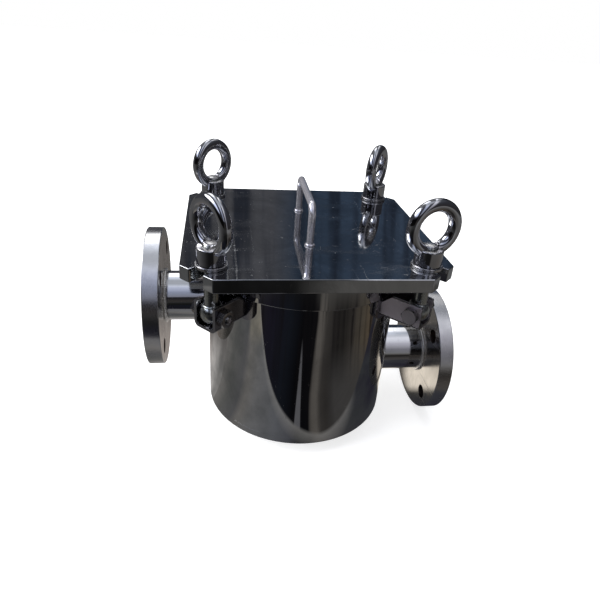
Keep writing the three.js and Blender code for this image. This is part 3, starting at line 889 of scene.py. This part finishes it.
def eye_nut_mesh(low, top):
    """A round base with an upright ring on it, bored right through for the bolt."""
    base_r, edge, cut = NUT_BASE_R, NUT_EDGE, 0.6 * MM
    high, eye_z = low + NUT_BASE_H, top - NUT_RING_R - NUT_BAR_R
    profile = [(0, low), (base_r - cut, low), (base_r, low + cut), (base_r, high - edge)]
    profile += [(base_r - edge * (1 - cos(a)), high - edge * (1 - sin(a)))
                for a in (radians(15 * k) for k in range(1, 7))]
    profile += [(0, high)]
    base = lathe(profile, 96, closed=False)
    ring = sweep(circle(NUT_RING_R, 0, 128), NUT_BAR_R, 40, closed=True)
    ring = move(ring, Matrix.Translation((0, 0, eye_z)) @ ON_SIDE)
    bore = rod(NUT_BORE_R, low - 1 * MM, eye_z - NUT_RING_R + 2 * NUT_BAR_R, 64)
    return boolean(boolean(base, [ring], "UNION"), [bore])


def eye_nuts():
    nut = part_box("eye_nut_front_left")
    base_top = nut[0].z + NUT_BASE_H
    for name, (sx, sy, angle) in CORNERS.items():
        facing = Matrix.Rotation(radians(angle), 4, "Z")
        at = Matrix.Translation((sx * BOLT_XY, sy * BOLT_XY, 0)) @ facing
        ring = rounded(band_outline(WASHER_BORE_R, WASHER_R, WASHER[0].z, WASHER[1].z),
                       [0.2 * MM, 0.3 * MM, 0.7 * MM, 0.3 * MM])
        flats(piece(f"flat_washer_{name}", move(lathe(ring, 96), at), WASHER_STEEL, f"washer_{name}",
                    "fastener_steel", f"washer_{name}"))
        eye_nut = piece(f"lifting_eye_nut_{name}", move(eye_nut_mesh(nut[0].z, nut[1].z), at), EYE_STEEL,
                        f"nut_{name}", "eye_nut_steel", f"eye_nut_{name}")
        # The top of each eye nut's base takes the pale top steel: painted light on it.
        finish_faces(flats(eye_nut), LIT_TOP_STEEL,
                     lambda face: abs(face.center.z - base_top) < NUT_EDGE and face.normal.z > 0.4)


# ---------- basket ----------
HOLE_PITCH = 7.2 * MM
HOLE_R = 2.3 * MM
SHEET_T = 1.5 * MM
FLOOR_HOLE_PITCH = 12 * MM
FLOOR_HOLE_R = 2.6 * MM
FLOOR_HOLE_RINGS = 6
EAR_R = 7 * MM
EAR_HOLE_R = 3.4 * MM
BAIL_BAR_R = 3 * MM
BAIL_BEND_R = 8 * MM
BAIL_REACH = 78 * MM


def perforated(columns, rows, place):
    """A sheet of square cells, each with a round hole. place(u, v, depth) gives a point."""
    bm = bmesh.new()
    known = {}

    def vertex(u, v, depth):
        key = (round(u % columns, 5), round(v, 5), depth)
        if key not in known:
            known[key] = bm.verts.new(place(u, v, depth))
        return known[key]

    hole = HOLE_R / HOLE_PITCH
    square = [(0.5, 0), (0.5, 0.5), (0, 0.5), (-0.5, 0.5), (-0.5, 0), (-0.5, -0.5), (0, -0.5), (0.5, -0.5)]
    for row in range(rows):
        for column in range(columns):
            cu, cv = column + 0.5, row + 0.5
            for k in range(8):
                (ax, ay), (bx, by) = square[k], square[(k + 1) % 8]
                first, second = TAU * k / 8, TAU * (k + 1) / 8
                outer = [(cu + ax, cv + ay), (cu + bx, cv + by)]
                inner = [(cu + hole * cos(first), cv + hole * sin(first)),
                         (cu + hole * cos(second), cv + hole * sin(second))]
                for depth in (0, 1):
                    loop = [vertex(*outer[0], depth), vertex(*outer[1], depth),
                            vertex(*inner[1], depth), vertex(*inner[0], depth)]
                    bm.faces.new(loop if depth else loop[::-1])
                bm.faces.new([vertex(*inner[0], 0), vertex(*inner[1], 0),
                              vertex(*inner[1], 1), vertex(*inner[0], 1)])
    rims = {}
    for column in range(columns * 2):
        for v in (0, rows):
            a, b = column / 2, (column + 1) / 2
            rims[(column, v)] = [vertex(a, v, 0), vertex(b, v, 0), vertex(b, v, 1), vertex(a, v, 1)]
    for loop in rims.values():
        bm.faces.new(loop)
    return bm


def basket_wall_and_floor():
    low, high = WALL[0].z, WALL[1].z
    outer, inner = WALL[1].x, WALL[1].x - SHEET_T
    columns = round(TAU * outer / HOLE_PITCH)
    rows = round((high - low) / HOLE_PITCH)

    def on_wall(u, v, depth):
        a = TAU * u / columns
        r = outer if depth else inner
        return r * cos(a), r * sin(a), low + (high - low) * v / rows

    piece("basket_sheet_wall", perforated(columns, rows, on_wall), SHEET_STEEL, "basket",
          "basket_sheet", "basket_wall")

    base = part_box("basket_floor")
    disc = lathe(band_outline(0, outer, base[0].z, base[1].z), 128, closed=False)
    holes = []
    for ring in range(1, FLOOR_HOLE_RINGS + 1):
        for x, y in polygon(ring * FLOOR_HOLE_PITCH, 6 * ring):
            hole = rod(FLOOR_HOLE_R, base[0].z - 1 * MM, base[1].z + 1 * MM, 12)
            holes.append(move(hole, Matrix.Translation((x, y, 0))))
    piece("basket_sheet_floor", boolean(disc, [merged(*holes)]), SHEET_STEEL, "basket", "basket_sheet",
          "basket_floor")

    rim = rounded(band_outline(inner, RIM[1].x, RIM[0].z, RIM[1].z), [0.3 * MM, 1 * MM, 1 * MM, 1 * MM])
    flats(piece("basket_top_rim", lathe(rim, 160), SATIN_STEEL, "basket", "inner_steel", "basket_rim"))


def bail_ear(word, z):
    """A round-topped ear on the rim that holds one end of the bail."""
    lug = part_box(f"bail_lug_{word}")
    outline = [(-EAR_R, lug[0].z), (EAR_R, lug[0].z)]
    outline += [(EAR_R * cos(a), z + EAR_R * sin(a)) for a in (pi * k / 20 for k in range(21))]
    plate = move(prism(outline, lug[0].x, lug[1].x), STAND_UP)
    hole = move(rod(EAR_HOLE_R, lug[0].x - 1 * MM, lug[1].x + 1 * MM, 32),
                Matrix.Rotation(pi / 2, 4, "Y") @ Matrix.Translation((-z, 0, 0)))
    soften(piece(f"bail_ear_{word}", boolean(plate, [hole]), SATIN_STEEL, "basket", "inner_steel",
                 f"bail_lug_{word}"), 0.4 * MM, 2)


def bail_wire(end, z):
    """A half ring of wire that lies flat, with both ends bent outwards into the ears."""
    reach, bend = BAIL_REACH, BAIL_BEND_R
    quarter = [radians(10 * k) for k in range(10)]
    line = [Vector((-end, 0, z))]
    line += [Vector((-reach - bend + bend * sin(a), -bend + bend * cos(a), z)) for a in quarter]
    line += [Vector((reach * cos(a), -bend + reach * sin(a), z))
             for a in (pi + pi * k / 60 for k in range(1, 60))]
    line += [Vector((reach + bend - bend * sin(a), -bend + bend * cos(a), z))
             for a in (radians(90 - 10 * k) for k in range(10))]
    line += [Vector((end, 0, z))]
    piece("bail_wire", sweep(line, BAIL_BAR_R, 20), SATIN_STEEL, "bail", "inner_steel", "basket_bail")


def basket():
    basket_wall_and_floor()
    low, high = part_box("basket_bail")
    z = (low.z + high.z) / 2
    bail_ear("left", z)
    bail_ear("right", z)
    bail_wire(high.x, z)


# ---------- studio ----------
def front_sky(graph, east, height):
    """What is mirrored from the camera's side of the object: darker to the left, paler to the right."""
    left = graph.ramp(height, [
        (0.0, (0.04, 0.036, 0.034)), (0.30, (0.016, 0.016, 0.02)), (0.345, (0.24, 0.25, 0.3)),
        (0.66, (0.34, 0.38, 0.5)), (0.88, (0.62, 0.67, 0.84)), (1.0, (1.0, 1.06, 1.16)),
    ])
    right = graph.ramp(height, [
        (0.0, (0.2, 0.2, 0.21)), (0.3, (0.22, 0.22, 0.25)), (0.46, (0.36, 0.36, 0.4)),
        (0.7, (0.55, 0.55, 0.62)), (0.87, (0.85, 0.87, 0.95)), (1.0, (1.0, 1.02, 1.1)),
    ])
    return graph.mix(graph.rise(east, 0.1, 0.28), left, right)


def streaked_haze(graph, direction, east):
    """The low part of what is mirrored from behind the object: dim, with upright streaks."""
    haze = graph.ramp(east, [(0.0, (0.085, 0.085, 0.092)), (0.1, (0.078, 0.08, 0.09)),
                             (0.15, (0.034, 0.052, 0.082)), (0.4, (0.045, 0.065, 0.1))])
    stripes = graph.noise(graph.mapping(direction, scale=(42, 3, 1.5)), 1.0, detail=3)
    return graph.mix(graph.spread(stripes, 0, 0.85, 0.44, 0.62), haze, (0.014, 0.018, 0.028, 1))


def bright_above(graph, east, height):
    """The high part of what is mirrored from behind the object, dark on the far right."""
    above = graph.ramp(height, [
        (0.46, (0.5, 0.52, 0.55)), (0.52, (1.9, 1.92, 1.95)), (0.8, (1.9, 1.94, 2.0)),
        (0.9, (0.85, 0.92, 1.05)), (1.0, (1.0, 1.06, 1.16)),
    ])
    return graph.mix(graph.spread(east, 0, 0.78, 0.3, 0.37), above, (0.05, 0.05, 0.055, 1))


def light_bars(graph, east, height):
    """Dim and bright bands from left to right, brightest high on the far left, and even overhead."""
    bars = graph.ramp(graph.rise(east, -1, 1), [
        (0.36, 0.12), (0.39, 1.0), (0.49, 1.0), (0.52, 0.12), (0.62, 0.12), (0.645, 1.0),
    ])
    far_left = graph.times(graph.fall(east, -0.62, -0.55), graph.rise(height, 0.42, 0.5))
    bars = graph.mix(far_left, bars, (3.2, 3.2, 3.2, 1))
    return graph.mix(graph.rise(height, 0.93, 0.985), bars, (0.5, 0.5, 0.5, 1))


def make_world():
    """White to the camera. In reflections: a patterned sky, bright overhead and dark low down."""
    world = bpy.data.worlds.new("studio")
    bpy.context.scene.world = world
    world.use_nodes = True
    graph = Graph(world.node_tree)
    direction = graph.node("ShaderNodeTexCoord").outputs["Generated"]
    east, north, height = graph.fed("ShaderNodeSeparateXYZ", {0: direction}).outputs
    bars = light_bars(graph, east, height)
    front = graph.mix(1.0, front_sky(graph, east, height), bars, "MULTIPLY")
    above = graph.mix(1.0, bright_above(graph, east, height), bars, "MULTIPLY")
    back = graph.mix(graph.rise(height, 0.455, 0.5), streaked_haze(graph, direction, east), above)
    open_sky = graph.mix(graph.rise(north, -0.2, 0.2), front, back)
    shaded = graph.ramp(
        height, [(0.0, (0.03, 0.028, 0.03)), (0.6, (0.04, 0.042, 0.05)), (0.9, (0.1, 0.11, 0.13))])
    reflected = graph.mix(graph.rise(east, 0.43, 0.52), open_sky, shaded)
    seen = graph.fed("ShaderNodeBackground", {"Color": (1, 1, 1, 1)}).outputs[0]
    mirrored = graph.fed("ShaderNodeBackground", {"Color": reflected}).outputs[0]
    by_camera = graph.node("ShaderNodeLightPath").outputs["Is Camera Ray"]
    choose = graph.fed("ShaderNodeMixShader", {0: by_camera, 1: mirrored, 2: seen})
    graph.surface(choose, "ShaderNodeOutputWorld")


def plane(name, size, material):
    bm = bmesh.new()
    bmesh.ops.create_grid(bm, x_segments=1, y_segments=1, size=size)
    made = add_object(name, as_mesh(name, bm))
    made.data.materials.append(material)
    return made


def make_floor():
    """White paper that stays white far away, with a soft shadow round the object."""
    material, graph = new_material("floor_paper")
    place = graph.coords()
    tone = graph.mix(graph.noise(place, 5, detail=4), (0.5, 0.5, 0.5, 1), (0.54, 0.54, 0.54, 1))
    far = graph.fed("ShaderNodeVectorMath", {0: place}, operation="LENGTH").outputs["Value"]
    graph.surface(graph.fed("ShaderNodeBsdfPrincipled", {
        "Base Color": tone, "Roughness": 0.9, "Specular IOR Level": 0.0, "Emission Color": (1, 1, 1, 1),
        "Emission Strength": graph.spread(far, 0.78, 1.0, 0.25, 1.0),
    }))
    floor = plane("floor", 8, material)
    floor.location.z = FLOOR_Z
    floor.visible_glossy = False


YARD_FRONT = -75.5  # the direction in which the yard's edge is nearest, in degrees
YARD_SPREAD = 84  # the edge has gone out of sight this many degrees from there
YARD_EDGE_R = 0.15
YARD_BEND = 1.56


def turn_of(degrees):
    """A direction round the vessel, -180 to 180 degrees, as a place from 0 to 1."""
    return (degrees + 180) / 360


def turn_stops(stops):
    """Ramp stops from directions in degrees round the vessel."""
    return [(turn_of(degrees), shade) for degrees, shade in stops]


def past_yard_edge(graph, away, turn):
    """How far out past the yard's edge. The edge bends away from the vessel on both sides of its front."""
    off_front = graph.math("ABSOLUTE", graph.math("SUBTRACT", turn, turn_of(YARD_FRONT)))
    bent = graph.math("POWER", graph.math("DIVIDE", off_front, YARD_SPREAD / 360), YARD_BEND)
    left_over = graph.math("MAXIMUM", graph.math("SUBTRACT", 1, bent), 0.25)
    return graph.math("SUBTRACT", away, graph.math("DIVIDE", YARD_EDGE_R, left_over))


def yard(graph, place, away, angle, turn, past_edge):
    """The yard's colour: by direction, with a strip, mottling, a rim, a pale patch under the outlet
    and a plain grey part behind."""
    colour = graph.ramp(turn, turn_stops([
        (-180, (0.22, 0.21, 0.2)), (-168, (0.13, 0.13, 0.125)), (-153, (0.115, 0.115, 0.12)),
        (-146, (0.21, 0.2, 0.19)), (-135, (0.19, 0.19, 0.195)), (-113, (0.135, 0.14, 0.155)),
        (-102, (0.085, 0.087, 0.1)), (-94, (0.03, 0.03, 0.033)), (-84, (0.03, 0.03, 0.03)),
        (-79, (0.1, 0.094, 0.088)), (-66, (0.065, 0.063, 0.066)), (-48, (0.045, 0.045, 0.052)),
        (-22, (0.03, 0.03, 0.04)), (-6, (0.02, 0.018, 0.03)), (3, (0.06, 0.055, 0.05)),
        (52, (0.14, 0.13, 0.125)), (90, (0.14, 0.135, 0.13)), (100, (0.45, 0.41, 0.38)),
        (140, (0.4, 0.36, 0.34)), (152, (0.6, 0.57, 0.55)), (167, (0.55, 0.53, 0.51)),
        (174, (0.3, 0.29, 0.28)),
    ]))
    strip = graph.ramp(turn, turn_stops([(-152, 0.0), (-149, 1.0), (-138, 1.0), (-135, 0.0)]))
    strip = graph.times(graph.rise(away, 0.33, 0.38), strip)
    colour = graph.mix(strip, colour, (0.27, 0.25, 0.21, 1))
    mottle = graph.noise(place, 11, detail=4, roughness=0.6)
    colour = graph.mix(graph.spread(mottle, 0, 0.42, 0.42, 0.62), colour, (0.06, 0.066, 0.066, 1))
    rim = graph.times(graph.spread(past_edge, 0, 0.5, -0.03, 0), graph.fall(turn, 130 / 360, 145 / 360))
    colour = graph.mix(rim, colour, (0.32, 0.31, 0.3, 1))
    under_outlet = graph.ramp(turn, turn_stops([(0, 0.0), (6, 1.0), (28, 1.0), (40, 0.0)]))
    under_outlet = graph.times(under_outlet, graph.fall(away, 0.156, 0.166))
    colour = graph.mix(under_outlet, colour, (1.0, 0.93, 0.83, 1))
    behind = graph.times(graph.rise(away, 0.2, 0.3), graph.rise(angle, 0.2, 0.4))
    return graph.mix(behind, colour, (0.15, 0.14, 0.135, 1))


def dark_ground(graph, away, turn):
    """The ground past the yard: by direction, with streaks, a pale wedge and one lifted side."""
    twisted = graph.math("SUBTRACT", turn, graph.spread(away, 0, 0.0125, 0.235, 0.44))
    colour = graph.ramp(twisted, turn_stops([
        (-180, (0.06, 0.056, 0.05)), (-150, (0.02, 0.02, 0.024)), (-134, (0.013, 0.012, 0.02)),
        (-112, (0.009, 0.011, 0.016)), (-100, (0.004, 0.004, 0.005)), (-85, (0.005, 0.005, 0.006)),
        (-84, (0.12, 0.11, 0.1)), (-78.5, (0.12, 0.11, 0.1)), (-75, (0.05, 0.046, 0.043)),
        (-62, (0.022, 0.02, 0.019)), (-55, (0.026, 0.024, 0.022)), (-47, (0.05, 0.045, 0.04)),
        (-33, (0.085, 0.072, 0.056)), (-20, (0.11, 0.085, 0.058)), (-13, (0.014, 0.011, 0.016)),
        (-2, (0.022, 0.018, 0.03)), (12, (0.05, 0.05, 0.05)), (90, (0.14, 0.13, 0.12)),
        (150, (0.06, 0.06, 0.06)),
    ]))
    along = graph.fed("ShaderNodeCombineXYZ", {0: graph.times(turn, 70), 1: graph.times(away, 1.2)})
    streaks = graph.noise(along.outputs[0], 1.0, detail=4, roughness=0.6)
    streaks = graph.times(graph.spread(streaks, 0, 0.8, 0.45, 0.66), graph.spread(away, 0.2, 1, 0.2, 0.36))
    colour = graph.mix(streaks, colour, (0.008, 0.007, 0.008, 1))
    off_line = graph.math("ABSOLUTE", graph.math("SUBTRACT", turn, 85 / 360))
    outside = graph.math("SUBTRACT", off_line, graph.spread(away, 0.007, 0.001, 0.17, 0.37))
    wedge = graph.times(graph.fall(outside, -0.001, 0.001), graph.fall(away, 0.32, 0.38))
    colour = graph.mix(wedge, colour, (0.12, 0.12, 0.13, 1))
    lift = graph.times(graph.spread(away, 0.92, 0, 0.23, 0.35), graph.rise(turn, 110 / 360, 119 / 360))
    colour = graph.mix(lift, colour, (0.066, 0.063, 0.062, 1))
    distant = graph.ramp(turn, turn_stops([
        (-180, 0.12), (-150, 0.06), (-125, 0.02), (-112, 0.01), (-86, 0.01), (-78, (0.09, 0.087, 0.082)),
        (-50, (0.095, 0.09, 0.084)), (-20, (0.12, 0.11, 0.1)), (10, 0.14), (180, 0.12),
    ]))
    horizon = graph.ramp(turn, turn_stops([
        (-180, 0.1), (-120, 0.035), (-84, 0.03), (-74, 0.2), (-40, 0.2), (0, 0.12), (180, 0.1),
    ]))
    distant = graph.mix(graph.rise(away, 0.8, 1.5), distant, horizon)
    return graph.mix(graph.rise(away, 0.47, 0.62), colour, distant)


def make_reflector():
    """What the polished steel sees below the horizon: a pale yard close in, dark ground past its edge.

    Only reflections see this board. Its pattern runs out from the vessel's axis, so that upright
    polished sides show it as soft upright bands.
    """
    material, graph = new_material("reflected_ground")
    place = graph.coords()
    east, north, _ = graph.fed("ShaderNodeSeparateXYZ", {0: place}).outputs
    away = graph.fed("ShaderNodeVectorMath", {0: place}, operation="LENGTH").outputs["Value"]
    angle = graph.math("ARCTAN2", north, east)
    turn = graph.rise(angle, -pi, pi)
    past_edge = past_yard_edge(graph, away, turn)
    near = yard(graph, place, away, angle, turn, past_edge)
    far = dark_ground(graph, away, turn)
    colour = graph.mix(graph.rise(past_edge, -0.002, 0.006), near, far)
    graph.surface(graph.fed("ShaderNodeEmission", {"Color": colour}))
    board = plane("reflected_ground", 4, material)
    board.location.z = FLOOR_Z + 0.2 * MM
    board.visible_camera = False
    board.visible_diffuse = False
    board.visible_shadow = False
    board.visible_transmission = False


def area_light(name, at, aim, size, power):
    """A soft light that the polished steel doesn't mirror."""
    light = bpy.data.lights.new(name, "AREA")
    light.shape = "RECTANGLE"
    light.size, light.size_y = size
    light.energy = power
    made = add_object(name, light)
    made.location = at
    made.rotation_euler = (Vector(aim) - Vector(at)).to_track_quat("-Z", "Y").to_euler()
    made.visible_glossy = False


def make_studio():
    make_world()
    make_floor()
    make_reflector()
    area_light("top_softbox", (-0.3, 0.1, 1.9), (0, 0, 0.1), (1.6, 1.6), 30)
    area_light("left_softbox", (-1.5, -0.5, 1.1), (0, 0, 0.2), (1.0, 1.0), 28)
    bpy.context.scene.view_settings.view_transform = "Standard"


make_camera()
make_studio()
shell_wall()
vessel_bottom()
top_ring()
gasket_and_seat()
pipe_and_flange("inlet", -1, INLET_Z)
pipe_and_flange("outlet", 1, OUTLET_Z)
for corner_name, (corner_x, corner_y, _) in CORNERS.items():
    corner_pieces(corner_name, corner_x, corner_y)
cover()
eye_nuts()
basket()
